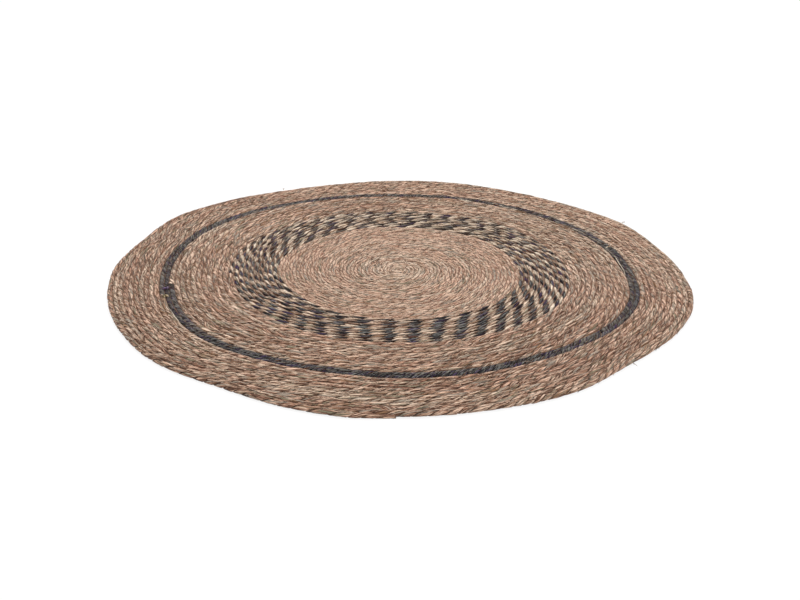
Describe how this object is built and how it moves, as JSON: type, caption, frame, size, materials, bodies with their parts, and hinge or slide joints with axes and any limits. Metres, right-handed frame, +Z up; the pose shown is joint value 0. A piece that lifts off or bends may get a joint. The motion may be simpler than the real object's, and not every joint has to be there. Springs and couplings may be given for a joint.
{
  "type": "round coiled cord rug",
  "caption": "Round flat rug of twisted plant-fibre cord coiled in one spiral, with a speckled two-tone band and a dark ring.",
  "frame": {"origin": "centre of the bounding box on the underside, on the floor", "axes": "+Z up, -Y towards the viewer of the picture, +X to the viewer's right; the coil runs counter-clockwise outwards seen from above"},
  "size_m": [1.191, 1.2262, 0.0102],
  "materials": {
    "centre_cord": "fine two-ply cord of natural plant fibre, matt",
    "two_tone_cord": "two-ply cord, one ply natural and one dyed charcoal, matt",
    "field_cord": "two-ply cord of natural plant fibre, matt",
    "dark_cord": "two-ply cord dyed charcoal, matt",
    "border_cord": "two-ply cord of natural plant fibre, matt"
  },
  "bodies": {
    "root": {"centre_coil": "centre_cord", "two_tone_band": "two_tone_cord", "inner_field": "field_cord", "dark_ring": "dark_cord", "outer_border": "border_cord"}
  },
  "joints": []
}
